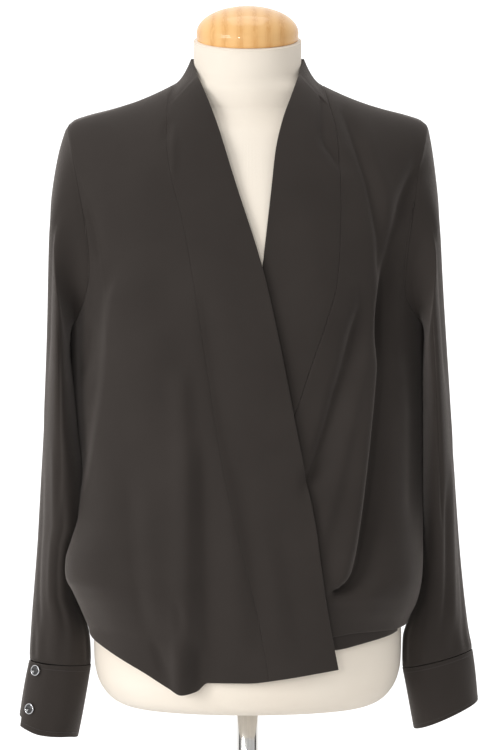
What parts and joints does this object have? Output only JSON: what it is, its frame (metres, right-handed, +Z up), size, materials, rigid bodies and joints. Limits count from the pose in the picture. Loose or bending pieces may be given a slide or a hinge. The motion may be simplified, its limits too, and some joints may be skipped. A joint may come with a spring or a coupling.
{
  "type": "wrap blouse on a limbless dress form",
  "caption": "Long-sleeved wrap blouse with a shawl band and buttoned cuffs, worn by a limbless dress form on a plain round stand.",
  "frame": {"origin": "middle of the underside of the round base, on the pole's axis", "axes": "+Z up along the pole, the front of the blouse looks along -Y, +X towards the wearer's left"},
  "size_m": [0.4882, 0.3, 1.0564],
  "materials": {
    "cloth": "smooth crepe",
    "button": "gloss",
    "form_jersey": "matt jersey",
    "varnished_wood": "gloss varnish",
    "chrome": "polished",
    "base_steel": "satin"
  },
  "bodies": {
    "root": {"back": "cloth", "left_band": "cloth", "left_cuff": "cloth", "left_front": "cloth", "left_hem_band": "cloth", "left_sleeve": "cloth", "right_band": "cloth", "right_cuff": "cloth", "right_front": "cloth", "right_sleeve": "cloth", "left_button_1": "button", "left_button_2": "button", "right_button_1": "button", "right_button_2": "button", "dress_form": "form_jersey", "neck_cap": "varnished_wood", "pole": "chrome", "base": "base_steel"}
  },
  "joints": []
}
